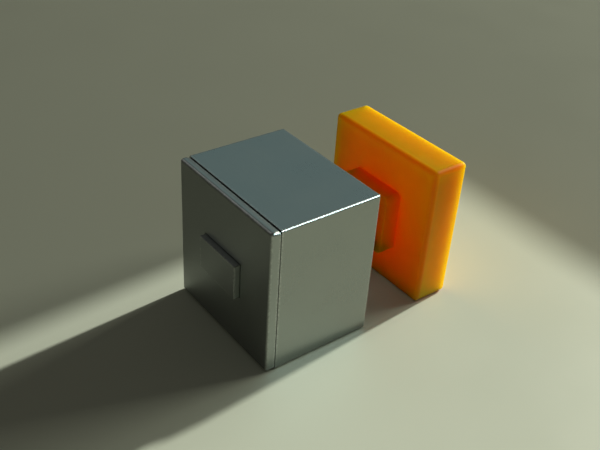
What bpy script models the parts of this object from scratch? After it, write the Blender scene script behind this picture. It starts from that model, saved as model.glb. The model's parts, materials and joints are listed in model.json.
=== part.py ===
"""Puzzle box in Blender: a metal case with a hidden drawer, and a translucent key block that plugs into its back.

The frame is the case's own: origin in the middle of the case's underside, +Z up, the drawer opens towards -Y and the
key block stands off the back, along +Y. All sizes are metres, written as millimetres times MM.
"""

import math

import bmesh
import bpy
from mathutils import Vector

MM = 0.001

# Driving dimensions of the outside.
WIDTH = 77.5 * MM
HEIGHT = 80 * MM
CASE_DEPTH = 61.5 * MM
WALL = 2.5 * MM
COVER_THICKNESS = 5 * MM
SEAM = 0.35 * MM
CASE_ROUNDING = 1.2 * MM
COVER_ROUNDING = 1.7 * MM
COVER_LIFT = 0.4 * MM
NAIL_GROOVE_LENGTH = 2.2 * MM
NAIL_GROOVE_DEPTH = 0.6 * MM

BUTTON_WIDTH = 30.4 * MM
BUTTON_HEIGHT = 19 * MM
BUTTON_PROUD = 3.3 * MM
BUTTON_TRAVEL = 3 * MM
DRAWER_TRAVEL = 32.5 * MM

BLOCK_THICKNESS = 22 * MM
BLOCK_GAP = 36 * MM
BLOCK_ROUNDING = 2.4 * MM
PLUG_SIDE = 35 * MM
PLUG_LENGTH = 10 * MM
PLUG_ROUNDING = 3 * MM

# Clearance between pieces that touch on the real object.
GAP = 0.3 * MM

# Planes worked out from them.
HALF_WIDTH = WIDTH / 2
MIDDLE = HEIGHT / 2
FRONT = -CASE_DEPTH / 2
BACK = CASE_DEPTH / 2
COVER_BACK = FRONT + COVER_THICKNESS
SHELL_FRONT = COVER_BACK + SEAM
INSIDE_X = HALF_WIDTH - WALL
INSIDE_LOW = WALL
INSIDE_HIGH = HEIGHT - WALL
BLOCK_FRONT = BACK + BLOCK_GAP
BLOCK_BACK = BLOCK_FRONT + BLOCK_THICKNESS

# The back: a panel set into the shell, on a frame that also carries the lock pins.
PANEL_BACK = BACK - GAP
PANEL_THICKNESS = 3 * MM
PANEL_FRONT = PANEL_BACK - PANEL_THICKNESS
FRAME_DEPTH = 10 * MM
FRAME_BACK = PANEL_FRONT - GAP
FRAME_FRONT = FRAME_BACK - FRAME_DEPTH
FRAME_WINDOW_X = 28 * MM
FRAME_WINDOW_Z = 30.5 * MM

# The socket that takes the key block's plug.
CUP_INSIDE = PLUG_SIDE / 2 + 0.5 * MM
CUP_WALL = 1.2 * MM
CUP_OUTSIDE = CUP_INSIDE + CUP_WALL
CUP_DEPTH = 11 * MM
CUP_FLOOR = 4 * MM
CUP_FLANGE = 23.5 * MM
CUP_FLANGE_THICKNESS = 1.5 * MM
CUP_BOTTOM = PANEL_BACK - CUP_DEPTH
CUP_FRONT = CUP_BOTTOM - CUP_FLOOR

# The drawer, which hangs between two rails.
TRAY_X = 31 * MM
TRAY_LOW = 7.5 * MM
TRAY_HIGH = HEIGHT - TRAY_LOW
TRAY_WALL = 1.5 * MM
TRAY_FRONT_WALL = 2 * MM
TRAY_FRONT = -15.2 * MM
TRAY_BACK = 13.5 * MM
REBATE = 1.2 * MM
REBATE_BACK = COVER_BACK + REBATE
RAIL_HALF = 4 * MM
RAIL_GROOVE = 2.5 * MM
RAIL_WEB = 1 * MM
RAIL_DEPTH = 3 * MM
RAIL_BACK = FRAME_FRONT - 0.35 * MM
CATCH_HALF = 8 * MM
CATCH_PROUD = 3 * MM
LUG_HALF = 20 * MM
LUG_LOW = 12.5 * MM
LUG_THICKNESS = 2 * MM
LUG_BACK = 27 * MM

# The lock behind the cover: a wedge on the button drives two bolts apart.
FLANGE_MARGIN = 2.2 * MM
FLANGE_MARGIN_Z = 2.6 * MM
FLANGE_THICKNESS = 1.2 * MM
FLANGE_FRONT = COVER_BACK + GAP
FLANGE_BACK = FLANGE_FRONT + FLANGE_THICKNESS
CHAMBER_MARGIN = 0.6 * MM
HOUSING_HALF = 22 * MM
HOUSING_HALF_Z = 28 * MM
HOUSING_FRONT = REBATE_BACK + GAP
HOUSING_BACK = TRAY_FRONT - GAP
CAM_HALF = 6 * MM
CAM_FRONT = FLANGE_BACK + GAP
CAM_ROOT = 8.65 * MM
CAM_TIP = 3.5 * MM
CAM_BACK = CAM_FRONT + CAM_ROOT - CAM_TIP
BOLT_THICKNESS = 5 * MM
BOLT_FRONT = -20.9 * MM
BOLT_BACK = BOLT_FRONT + BOLT_THICKNESS
BOLT_Y = (BOLT_FRONT + BOLT_BACK) / 2
BOLT_SHOULDER = 15 * MM
BOLT_END = 33 * MM
STEM_RADIUS = 2 * MM
CHANNEL_END = 23 * MM
SPRING_RADIUS = 2.4 * MM
SPRING_WIRE = 0.2 * MM
SPRING_TURNS = 6
STRIKE_FRONT = -23.6 * MM
STRIKE_BACK = -21 * MM
STRIKE_REACH = 33.5 * MM

# Screws and magnets.
CORNER_SCREW_X = (FRAME_WINDOW_X + INSIDE_X - GAP) / 2
CORNER_SCREW_Z = (FRAME_WINDOW_Z + MIDDLE - WALL - GAP) / 2
COVER_SCREW_X = 26 * MM
COVER_SCREW_Z = 24 * MM
HOUSING_SCREW_X = 17 * MM
HOUSING_SCREW_Z = 22 * MM
CUP_SCREW_X = 21.8 * MM
MAGNET_RADIUS = 4 * MM
MAGNET_X = 6 * MM
MAGNET_Z = 30 * MM
LIFT_MAGNET_RADIUS = 3 * MM
LIFT_MAGNET_Y = BLOCK_FRONT - 5.95 * MM
PIN_X = 12 * MM
PIN_Y = 22.4 * MM
PIN_TOP = 12.1 * MM
PIN_BOTTOM = 4.1 * MM

ROUND_SIDES = 24
SCREW_SIDES = 16


def scene_collection(name):
    collection = bpy.data.collections.new(name)
    bpy.context.scene.collection.children.link(collection)
    return collection


def clear_scene():
    for obj in list(bpy.data.objects):
        bpy.data.objects.remove(obj)


def material(name, colour, roughness, metallic=0.0, subsurface=0.0):
    made = bpy.data.materials.new(name)
    made.use_nodes = True
    shader = made.node_tree.nodes["Principled BSDF"]
    shader.inputs["Base Color"].default_value = (*colour, 1)
    shader.inputs["Roughness"].default_value = roughness
    shader.inputs["Metallic"].default_value = metallic
    shader.inputs["Subsurface Weight"].default_value = subsurface
    made.diffuse_color = (*colour, 1)
    return made


clear_scene()
PARTS = scene_collection("puzzle_box")
CUTTERS = scene_collection("cutters")

GUNMETAL = material("gunmetal", (0.36, 0.38, 0.37), 0.24, 1.0)
ORANGE = material("orange_resin", (0.9, 0.32, 0.01), 0.25, 0.0, 1.0)
STEEL = material("steel", (0.55, 0.56, 0.57), 0.25, 1.0)
NICKEL = material("nickel_magnet", (0.7, 0.68, 0.64), 0.15, 1.0)
BRASS = material("brass", (0.75, 0.55, 0.25), 0.3, 1.0)
BLACK_PLASTIC = material("black_plastic", (0.03, 0.03, 0.035), 0.5)
ALUMINIUM = material("aluminium", (0.6, 0.61, 0.62), 0.4, 1.0)
FELT = material("charcoal_felt", (0.06, 0.06, 0.07), 0.95)


# Shape helpers.
def add(name, mesh, place, look, collection=PARTS):
    """A mesh as a named object, with its origin at place."""
    obj = bpy.data.objects.new(name, mesh)
    obj.location = place
    if look:
        mesh.materials.append(look)
    collection.objects.link(obj)
    return obj


def helper(name, mesh, place):
    """A cutter: it shapes other pieces and isn't a piece itself."""
    obj = add(name, mesh, place, None, CUTTERS)
    obj.hide_render = True
    obj.display_type = "WIRE"
    return obj


def box_mesh(low, high, radius=0.0, segments=3, chosen=None, reshape=None):
    """A box about its own centre. chosen picks the edges to round, and reshape moves its corners first."""
    size = Vector(high) - Vector(low)
    bm = bmesh.new()
    bmesh.ops.create_cube(bm, size=1)
    bmesh.ops.scale(bm, vec=size, verts=bm.verts)
    for vertex in bm.verts:
        if reshape:
            vertex.co = reshape(vertex.co)
    if radius:
        edges = [edge for edge in bm.edges if chosen is None or chosen(edge)]
        bmesh.ops.bevel(
            bm, geom=edges, offset=radius, segments=segments, profile=0.5, affect="EDGES"
        )
    mesh = bpy.data.meshes.new("box")
    bm.to_mesh(mesh)
    bm.free()
    return mesh


def along_y(edge):
    direction = edge.verts[1].co - edge.verts[0].co
    return abs(direction.y) > max(abs(direction.x), abs(direction.z))


def faces_front(edge):
    """An edge of the face towards -Y, or one that runs back from it."""
    return along_y(edge) or all(vertex.co.y < 0 for vertex in edge.verts)


def rim_of_front(edge):
    return all(vertex.co.y < 0 for vertex in edge.verts)


def block(name, low, high, look, **rounding):
    centre = (Vector(low) + Vector(high)) / 2
    mesh = box_mesh(low, high, **rounding)
    obj = add(name, mesh, centre, look)
    smooth(obj)
    return obj


def smooth(obj):
    obj.data.shade_smooth()
    obj.data.set_sharp_from_angle(angle=math.radians(40))


def rod_mesh(radius, length, sides=ROUND_SIDES, far_radius=None):
    """A cylinder or cone along +Z about its own middle. far_radius is at its +Z end."""
    bm = bmesh.new()
    bmesh.ops.create_cone(
        bm,
        cap_ends=True,
        segments=sides,
        radius1=radius,
        radius2=radius if far_radius is None else far_radius,
        depth=length,
    )
    mesh = bpy.data.meshes.new("rod")
    bm.to_mesh(mesh)
    bm.free()
    return mesh


def aim(obj, start, end):
    """Puts a mesh made along +Z between two points."""
    start, end = Vector(start), Vector(end)
    obj.location = (start + end) / 2
    obj.rotation_mode = "QUATERNION"
    obj.rotation_quaternion = Vector((0, 0, 1)).rotation_difference(end - start)
    return obj


def rod(name, start, end, radius, look):
    length = (Vector(end) - Vector(start)).length
    obj = add(name, rod_mesh(radius, length), (0, 0, 0), look)
    smooth(obj)
    return aim(obj, start, end)


def turned_mesh(profile, sides=ROUND_SIDES, ring=False):
    """A profile of (radius, height) points, down its outer side, turned about Z. A ring's profile closes on itself."""
    count = len(profile)
    edges = [(i, (i + 1) % count) for i in range(count if ring else count - 1)]
    outline = bpy.data.meshes.new("profile")
    outline.from_pydata([(radius, 0, height) for radius, height in profile], edges, [])
    maker = bpy.data.objects.new("profile", outline)
    CUTTERS.objects.link(maker)
    screw = maker.modifiers.new("turn", "SCREW")
    screw.steps = screw.render_steps = sides
    screw.use_merge_vertices = True
    screw.merge_threshold = 0.00001
    graph = bpy.context.evaluated_depsgraph_get()
    mesh = bpy.data.meshes.new_from_object(maker.evaluated_get(graph))
    bpy.data.objects.remove(maker)
    return mesh


def turned(name, mesh, place, direction, look):
    """A turned mesh with its own origin at place and its +Z along direction. Copies share one mesh."""
    obj = bpy.data.objects.new(name, mesh)
    obj.location = place
    obj.rotation_mode = "QUATERNION"
    obj.rotation_quaternion = Vector((0, 0, 1)).rotation_difference(Vector(direction))
    if not mesh.materials:
        mesh.materials.append(look)
        smooth(obj)
    PARTS.objects.link(obj)
    return obj


def boolean(target, other, operation):
    modifier = target.modifiers.new(operation.lower(), "BOOLEAN")
    modifier.operation = operation
    modifier.object = other


def cut_box(target, low, high, **rounding):
    centre = (Vector(low) + Vector(high)) / 2
    name = target.name + "_cut"
    boolean(target, helper(name, box_mesh(low, high, **rounding), centre), "DIFFERENCE")


def cut_hole(target, start, end, radius, far_radius=None, sides=ROUND_SIDES):
    length = (Vector(end) - Vector(start)).length
    mesh = rod_mesh(radius, length, sides, far_radius)
    cutter = helper(target.name + "_hole", mesh, (0, 0, 0))
    boolean(target, aim(cutter, start, end), "DIFFERENCE")


def cut_sunk(target, place, direction, radius, head_radius, depth):
    """A through hole with a countersink that opens at place, towards direction."""
    above = 0.2 * MM
    profile = [
        (0, above),
        (head_radius, above),
        (radius, radius - head_radius + above),
        (radius, -depth),
        (0, -depth),
    ]
    mesh = turned_mesh(profile, SCREW_SIDES)
    cutter = helper(target.name + "_sunk", mesh, place)
    cutter.rotation_mode = "QUATERNION"
    cutter.rotation_quaternion = Vector((0, 0, 1)).rotation_difference(Vector(direction))
    boolean(target, cutter, "DIFFERENCE")


def join_box(target, low, high, **rounding):
    centre = (Vector(low) + Vector(high)) / 2
    name = target.name + "_more"
    boolean(target, helper(name, box_mesh(low, high, **rounding), centre), "UNION")


def join_rod(target, start, end, radius):
    length = (Vector(end) - Vector(start)).length
    other = helper(target.name + "_more", rod_mesh(radius, length), (0, 0, 0))
    boolean(target, aim(other, start, end), "UNION")


def screw_mesh(head_radius, head_height, shank_radius, length, countersunk, hex_radius):
    """A screw with its head's flat top at the origin and its shank towards -Z, with a hexagon socket."""
    point = 0.35 * shank_radius
    under = head_height if countersunk else 0.98 * head_height
    profile = [
        (0, 0),
        (head_radius, 0),
        (shank_radius if countersunk else head_radius, -under),
        (shank_radius, -head_height - 0.02 * shank_radius),
        (shank_radius, -length + point),
        (shank_radius - point, -length),
        (0, -length),
    ]
    maker = bpy.data.objects.new("screw", turned_mesh(profile, SCREW_SIDES))
    CUTTERS.objects.link(maker)
    depth = 0.6 * head_height
    socket = helper("socket", rod_mesh(hex_radius, 2 * depth, sides=6), (0, 0, 0))
    boolean(maker, socket, "DIFFERENCE")
    graph = bpy.context.evaluated_depsgraph_get()
    mesh = bpy.data.meshes.new_from_object(maker.evaluated_get(graph))
    bpy.data.objects.remove(maker)
    bpy.data.objects.remove(socket)
    return mesh


def span(side, near, far):
    """The two X values of a piece on the left (-1) or the right (1), lowest first."""
    return sorted((side * near, side * far))


def body(name, place=(0, 0, 0)):
    """An empty that carries the pieces of one moving body."""
    empty = bpy.data.objects.new(name, None)
    empty.location = place
    PARTS.objects.link(empty)
    return empty


def carry(empty, *pieces):
    """Parents pieces to a body and leaves them where they are."""
    bpy.context.view_layer.update()
    for piece in pieces:
        piece.parent = empty
        piece.matrix_parent_inverse = empty.matrix_world.inverted()


SIDES = (("left", -1), ("right", 1))
CORNERS = [(x, z) for z in (1, -1) for x in (-1, 1)]


# The case.
def case_shell():
    """A square tube, open at both ends."""
    shell = block(
        "case_shell",
        (-HALF_WIDTH, SHELL_FRONT, 0),
        (HALF_WIDTH, BACK, HEIGHT),
        GUNMETAL,
        radius=CASE_ROUNDING,
        segments=4,
        chosen=along_y,
    )
    cut_box(
        shell,
        (-INSIDE_X, SHELL_FRONT - WALL, INSIDE_LOW),
        (INSIDE_X, BACK + WALL, INSIDE_HIGH),
    )
    return [shell]


def rails():
    """Channels on the side walls, in which the drawer's runners slide."""
    made = []
    for name, side in SIDES:
        far = INSIDE_X - GAP
        near = far - RAIL_DEPTH
        front = REBATE_BACK + 0.35 * MM
        low_x, high_x = span(side, near, far)
        rail = block(
            f"rail_{name}",
            (low_x, front, MIDDLE - RAIL_HALF),
            (high_x, RAIL_BACK, MIDDLE + RAIL_HALF),
            BLACK_PLASTIC,
        )
        low_x, high_x = span(side, near - RAIL_WEB, far - RAIL_WEB)
        cut_box(
            rail,
            (low_x, front - WALL, MIDDLE - RAIL_GROOVE),
            (high_x, RAIL_BACK + WALL, MIDDLE + RAIL_GROOVE),
        )
        made.append(rail)
    return made


def strikes():
    """Blocks above and below the drawer's front: the bolts catch behind them, and they stop the open drawer."""
    made = []
    for name, side in (("upper", 1), ("lower", -1)):
        low, high = sorted(
            MIDDLE + side * reach for reach in (STRIKE_REACH, MIDDLE - WALL - GAP)
        )
        made.append(
            block(
                f"strike_{name}",
                (-10 * MM, STRIKE_FRONT, low),
                (10 * MM, STRIKE_BACK, high),
                STEEL,
                radius=0.3 * MM,
                segments=2,
            )
        )
    return made


def back_frame():
    """A ring inside the shell's end, which the panel screws onto. Its lower bar holds the pins' bushes."""
    edge_x = INSIDE_X - GAP
    edge_z = MIDDLE - WALL - GAP
    frame = block(
        "back_frame",
        (-edge_x, FRAME_FRONT, MIDDLE - edge_z),
        (edge_x, FRAME_BACK, MIDDLE + edge_z),
        ALUMINIUM,
    )
    cut_box(
        frame,
        (-FRAME_WINDOW_X, FRAME_FRONT - WALL, MIDDLE - FRAME_WINDOW_Z),
        (FRAME_WINDOW_X, FRAME_BACK + WALL, MIDDLE + FRAME_WINDOW_Z),
        radius=2 * MM,
        chosen=along_y,
    )
    for x, z in CORNERS:
        at = (x * CORNER_SCREW_X, MIDDLE + z * CORNER_SCREW_Z)
        cut_hole(
            frame,
            (at[0], FRAME_FRONT - WALL, at[1]),
            (at[0], FRAME_BACK + WALL, at[1]),
            1.55 * MM,
            sides=SCREW_SIDES,
        )
    for _, side in SIDES:
        cut_hole(
            frame,
            (side * PIN_X, PIN_Y, PIN_BOTTOM - GAP),
            (side * PIN_X, PIN_Y, MIDDLE),
            4.3 * MM,
        )
    return [frame]


def back_panel():
    edge_x = INSIDE_X - GAP
    edge_z = MIDDLE - WALL - GAP
    window = CUP_OUTSIDE + GAP
    panel = block(
        "back_panel",
        (-edge_x, PANEL_FRONT, MIDDLE - edge_z),
        (edge_x, PANEL_BACK, MIDDLE + edge_z),
        GUNMETAL,
    )
    cut_box(
        panel,
        (-window, PANEL_FRONT - WALL, MIDDLE - window),
        (window, PANEL_BACK + WALL, MIDDLE + window),
    )
    for x, z in CORNERS:
        place = (x * CORNER_SCREW_X, PANEL_BACK, MIDDLE + z * CORNER_SCREW_Z)
        cut_sunk(panel, place, (0, 1, 0), 1.55 * MM, 2.8 * MM, 2 * PANEL_THICKNESS)
    for _, side in SIDES:
        cut_hole(
            panel,
            (side * CUP_SCREW_X, PANEL_FRONT - WALL, MIDDLE),
            (side * CUP_SCREW_X, PANEL_FRONT + 2.2 * MM, MIDDLE),
            1.3 * MM,
            sides=SCREW_SIDES,
        )
    return [panel]


def back_screws():
    mesh = screw_mesh(2.3 * MM, 1.2 * MM, 1.25 * MM, 11.5 * MM, True, 0.9 * MM)
    made = []
    for number, (x, z) in enumerate(CORNERS, 1):
        place = (x * CORNER_SCREW_X, PANEL_BACK - 0.2 * MM, MIDDLE + z * CORNER_SCREW_Z)
        made.append(turned(f"back_screw_{number}", mesh, place, (0, 1, 0), STEEL))
    return made


def socket_cup():
    """The square cup that takes the plug, held behind the panel by its flange."""
    cup = block(
        "socket_cup",
        (-CUP_OUTSIDE, CUP_FRONT, MIDDLE - CUP_OUTSIDE),
        (CUP_OUTSIDE, PANEL_BACK, MIDDLE + CUP_OUTSIDE),
        BLACK_PLASTIC,
    )
    join_box(
        cup,
        (-CUP_FLANGE, FRAME_BACK - CUP_FLANGE_THICKNESS, MIDDLE - CUP_FLANGE),
        (CUP_FLANGE, FRAME_BACK, MIDDLE + CUP_FLANGE),
    )
    cut_box(
        cup,
        (-CUP_INSIDE, CUP_BOTTOM, MIDDLE - CUP_INSIDE),
        (CUP_INSIDE, PANEL_BACK + WALL, MIDDLE + CUP_INSIDE),
        radius=PLUG_ROUNDING,
        chosen=along_y,
    )
    for _, side in SIDES:
        cut_hole(
            cup,
            (side * MAGNET_X, CUP_FRONT - WALL, MAGNET_Z),
            (side * MAGNET_X, CUP_FRONT + 3.2 * MM, MAGNET_Z),
            MAGNET_RADIUS + GAP,
        )
        cut_hole(
            cup,
            (side * CUP_SCREW_X, FRAME_BACK - 2 * CUP_FLANGE_THICKNESS, MIDDLE),
            (side * CUP_SCREW_X, FRAME_BACK + WALL, MIDDLE),
            1.3 * MM,
            sides=SCREW_SIDES,
        )
    return [cup]


def socket_fittings():
    """The screws that hold the cup's flange, and the magnets that hold the key block."""
    head_top = FRAME_BACK - CUP_FLANGE_THICKNESS - GAP - 1 * MM
    mesh = screw_mesh(1.9 * MM, 1 * MM, 1 * MM, 5 * MM, False, 0.8 * MM)
    made = []
    for name, side in SIDES:
        place = (side * CUP_SCREW_X, head_top, MIDDLE)
        made.append(turned(f"socket_screw_{name}", mesh, place, (0, -1, 0), STEEL))
        made.append(
            rod(
                f"socket_magnet_{name}",
                (side * MAGNET_X, CUP_FRONT, MAGNET_Z),
                (side * MAGNET_X, CUP_FRONT + 2.9 * MM, MAGNET_Z),
                MAGNET_RADIUS,
                NICKEL,
            )
        )
    return made


def pin_bushes():
    """Flanged brass bushes in the frame's lower bar. A lip at the top keeps each pin in."""
    top = 6.7 * MM
    lip = 4.9 * MM
    flange = 5.7 * MM
    profile = [
        (2.3 * MM, top),
        (5 * MM, top),
        (5 * MM, flange),
        (4 * MM, flange),
        (4 * MM, 0),
        (3.1 * MM, 0),
        (3.1 * MM, lip),
        (2.3 * MM, lip),
    ]
    mesh = turned_mesh(profile, ring=True)
    return [
        turned(
            f"pin_bush_{name}", mesh, (side * PIN_X, PIN_Y, PIN_BOTTOM), (0, 0, 1), BRASS
        )
        for name, side in SIDES
    ]


def lock_pin(name, side):
    """A steel pin with a foot, which drops by its own weight and which a magnet lifts."""
    length = PIN_TOP - PIN_BOTTOM
    foot = 1.2 * MM
    chamfer = 0.5 * MM
    profile = [
        (0, length),
        (STEM_RADIUS - chamfer, length),
        (STEM_RADIUS, length - chamfer),
        (STEM_RADIUS, foot),
        (2.8 * MM, foot),
        (2.8 * MM, 0),
        (0, 0),
    ]
    place = (side * PIN_X, PIN_Y, PIN_BOTTOM)
    pin = turned(f"lock_pin_{name}", turned_mesh(profile), place, (0, 0, 1), STEEL)
    carry(body(f"{name}_pin_body", place), pin)


# The drawer.
def front_cover():
    """The drawer's front, with a nail groove along its top and a rebate that enters the shell behind it."""
    cover = block(
        "front_cover",
        (-HALF_WIDTH, FRONT, COVER_LIFT),
        (HALF_WIDTH, COVER_BACK, HEIGHT),
        GUNMETAL,
        radius=COVER_ROUNDING,
        segments=4,
        chosen=faces_front,
    )
    start = COVER_BACK - NAIL_GROOVE_LENGTH
    past = 0.3 * MM
    depth = NAIL_GROOVE_DEPTH * (1 + past / NAIL_GROOVE_LENGTH)

    def slope(corner):
        if corner.y < 0 and corner.z < 0:
            return corner + Vector((0, 0, depth + 0.02 * MM))
        return corner

    cut_box(
        cover,
        (-WIDTH, start, HEIGHT - depth),
        (WIDTH, COVER_BACK + past, HEIGHT + WALL),
        reshape=slope,
    )
    edge_x = INSIDE_X - 0.4 * MM
    edge_z = MIDDLE - WALL - 0.4 * MM
    join_box(
        cover,
        (-edge_x, COVER_BACK - 0.25 * MM, MIDDLE - edge_z),
        (edge_x, REBATE_BACK, MIDDLE + edge_z),
    )
    half_x = BUTTON_WIDTH / 2
    half_z = BUTTON_HEIGHT / 2
    cut_box(
        cover,
        (-half_x - GAP, FRONT - WALL, MIDDLE - half_z - GAP),
        (half_x + GAP, REBATE_BACK + WALL, MIDDLE + half_z + GAP),
    )
    pocket_x = half_x + FLANGE_MARGIN + CHAMBER_MARGIN
    pocket_z = half_z + FLANGE_MARGIN_Z + CHAMBER_MARGIN
    cut_box(
        cover,
        (-pocket_x, COVER_BACK, MIDDLE - pocket_z),
        (pocket_x, REBATE_BACK + WALL, MIDDLE + pocket_z),
    )
    for x, z in CORNERS:
        at = (x * COVER_SCREW_X, MIDDLE + z * COVER_SCREW_Z)
        cut_hole(
            cover,
            (at[0], COVER_BACK - 2.65 * MM, at[1]),
            (at[0], REBATE_BACK + WALL, at[1]),
            1.8 * MM,
            sides=SCREW_SIDES,
        )
    for side in (-1, 1):
        at = (side * HOUSING_SCREW_X, MIDDLE - side * HOUSING_SCREW_Z)
        cut_hole(
            cover,
            (at[0], COVER_BACK - 2.25 * MM, at[1]),
            (at[0], REBATE_BACK + WALL, at[1]),
            1.3 * MM,
            sides=SCREW_SIDES,
        )
    return [cover]


def drawer_tray():
    """The open-topped box, with catches at its back edge and a lug that the lock pins enter."""
    tray = block(
        "drawer_tray",
        (-TRAY_X, TRAY_FRONT, TRAY_LOW),
        (TRAY_X, TRAY_BACK, TRAY_HIGH),
        ALUMINIUM,
        radius=0.6 * MM,
        segments=2,
        chosen=lambda edge: not along_y(edge)
        and abs(edge.verts[0].co.x - edge.verts[1].co.x) < GAP,
    )
    cut_box(
        tray,
        (-TRAY_X + TRAY_WALL, TRAY_FRONT + TRAY_FRONT_WALL, TRAY_LOW + TRAY_WALL),
        (TRAY_X - TRAY_WALL, TRAY_BACK - TRAY_WALL, HEIGHT),
    )
    catch_y = (TRAY_BACK - TRAY_WALL + 0.2 * MM, TRAY_BACK - 0.2 * MM)
    join_box(
        tray,
        (-CATCH_HALF, catch_y[0], TRAY_HIGH - WALL),
        (CATCH_HALF, catch_y[1], TRAY_HIGH + CATCH_PROUD),
    )
    join_box(
        tray,
        (-CATCH_HALF, catch_y[0], TRAY_LOW - CATCH_PROUD),
        (CATCH_HALF, catch_y[1], TRAY_LOW + 1 * MM),
    )
    join_box(
        tray,
        (-LUG_HALF, TRAY_BACK - 0.9 * MM, LUG_LOW),
        (LUG_HALF, LUG_BACK, LUG_LOW + LUG_THICKNESS),
    )
    for _, side in SIDES:
        cut_hole(
            tray,
            (side * PIN_X, PIN_Y, LUG_LOW - WALL),
            (side * PIN_X, PIN_Y, LUG_LOW + LUG_THICKNESS + WALL),
            2.6 * MM,
        )
    for x, z in CORNERS:
        inside = TRAY_FRONT + TRAY_FRONT_WALL
        place = (x * COVER_SCREW_X, inside, MIDDLE + z * COVER_SCREW_Z)
        cut_sunk(tray, place, (0, 1, 0), 1.8 * MM, 3.4 * MM, 2 * TRAY_FRONT_WALL)
    cut_hole(
        tray,
        (0, TRAY_FRONT - WALL, MIDDLE),
        (0, TRAY_FRONT + 1.5 * MM, MIDDLE),
        MAGNET_RADIUS + GAP,
    )
    return [tray]


def tray_liner():
    floor = TRAY_LOW + TRAY_WALL
    return [
        block(
            "tray_liner",
            (
                -TRAY_X + TRAY_WALL + GAP,
                TRAY_FRONT + TRAY_FRONT_WALL + GAP,
                floor + GAP,
            ),
            (TRAY_X - TRAY_WALL - GAP, TRAY_BACK - TRAY_WALL - GAP, floor + 1.5 * MM),
            FELT,
            radius=0.4 * MM,
            segments=2,
        )
    ]


def runners():
    """Bars on the tray's sides, which slide in the rails."""
    made = []
    for name, side in SIDES:
        low_x, high_x = span(side, TRAY_X + GAP, INSIDE_X - GAP - RAIL_WEB - GAP)
        made.append(
            block(
                f"runner_{name}",
                (low_x, TRAY_FRONT, MIDDLE - RAIL_GROOVE + GAP),
                (high_x, RAIL_BACK, MIDDLE + RAIL_GROOVE - GAP),
                BRASS,
                radius=0.4 * MM,
                segments=2,
                chosen=along_y,
            )
        )
    return made


def lock_housing():
    """Guides the bolts in an upright channel, and leaves room in front for the button's flange."""
    housing = block(
        "lock_housing",
        (-HOUSING_HALF, HOUSING_FRONT, MIDDLE - HOUSING_HALF_Z),
        (HOUSING_HALF, HOUSING_BACK, MIDDLE + HOUSING_HALF_Z),
        BLACK_PLASTIC,
        radius=1 * MM,
        segments=2,
        chosen=along_y,
    )
    chamber_x = BUTTON_WIDTH / 2 + FLANGE_MARGIN + CHAMBER_MARGIN
    chamber_z = BUTTON_HEIGHT / 2 + FLANGE_MARGIN_Z + CHAMBER_MARGIN
    cut_box(
        housing,
        (-chamber_x, HOUSING_FRONT - WALL, MIDDLE - chamber_z),
        (chamber_x, FLANGE_BACK + BUTTON_TRAVEL + GAP, MIDDLE + chamber_z),
    )
    cut_box(
        housing,
        (-CAM_HALF - GAP, BOLT_FRONT - GAP, MIDDLE - CHANNEL_END),
        (CAM_HALF + GAP, HOUSING_BACK + WALL, MIDDLE + CHANNEL_END),
    )
    cut_hole(
        housing,
        (0, BOLT_Y, MIDDLE - HOUSING_HALF_Z - WALL),
        (0, BOLT_Y, MIDDLE + HOUSING_HALF_Z + WALL),
        STEM_RADIUS + GAP,
    )
    for side in (-1, 1):
        at = (side * HOUSING_SCREW_X, MIDDLE - side * HOUSING_SCREW_Z)
        cut_hole(
            housing,
            (at[0], HOUSING_FRONT - WALL, at[1]),
            (at[0], HOUSING_BACK + WALL, at[1]),
            1.3 * MM,
            sides=SCREW_SIDES,
        )
        cut_hole(
            housing,
            (at[0], HOUSING_BACK - 1.6 * MM, at[1]),
            (at[0], HOUSING_BACK + WALL, at[1]),
            2.2 * MM,
            sides=SCREW_SIDES,
        )
    return [housing]


def drawer_fasteners():
    """Standoffs and long screws that tie the tray to the cover, and the housing's own short screws."""
    inside = TRAY_FRONT + TRAY_FRONT_WALL
    long_screw = screw_mesh(2.8 * MM, 1.3 * MM, 1.5 * MM, 14.3 * MM, True, 1.2 * MM)
    short_screw = screw_mesh(1.9 * MM, 1 * MM, 1 * MM, 11.5 * MM, False, 0.8 * MM)
    length = HOUSING_BACK - HOUSING_FRONT
    tube = turned_mesh(
        [
            (1.8 * MM, length / 2),
            (3.5 * MM, length / 2),
            (3.5 * MM, -length / 2),
            (1.8 * MM, -length / 2),
        ],
        ring=True,
    )
    made = []
    for number, (x, z) in enumerate(CORNERS, 1):
        at = (x * COVER_SCREW_X, MIDDLE + z * COVER_SCREW_Z)
        middle = (HOUSING_FRONT + HOUSING_BACK) / 2
        made.append(
            turned(f"standoff_{number}", tube, (at[0], middle, at[1]), (0, 1, 0), BRASS)
        )
        place = (at[0], inside - 0.2 * MM, at[1])
        made.append(
            turned(f"cover_screw_{number}", long_screw, place, (0, 1, 0), STEEL)
        )
    for name, side in (("upper", -1), ("lower", 1)):
        place = (
            side * HOUSING_SCREW_X,
            HOUSING_BACK - GAP,
            MIDDLE - side * HOUSING_SCREW_Z,
        )
        made.append(
            turned(f"housing_screw_{name}", short_screw, place, (0, 1, 0), STEEL)
        )
    return made


def keeper_magnet():
    """Holds the button in by the steel screw on its wedge."""
    return [
        rod(
            "keeper_magnet",
            (0, TRAY_FRONT, MIDDLE),
            (0, TRAY_FRONT + 1.2 * MM, MIDDLE),
            MAGNET_RADIUS,
            NICKEL,
        )
    ]


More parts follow.
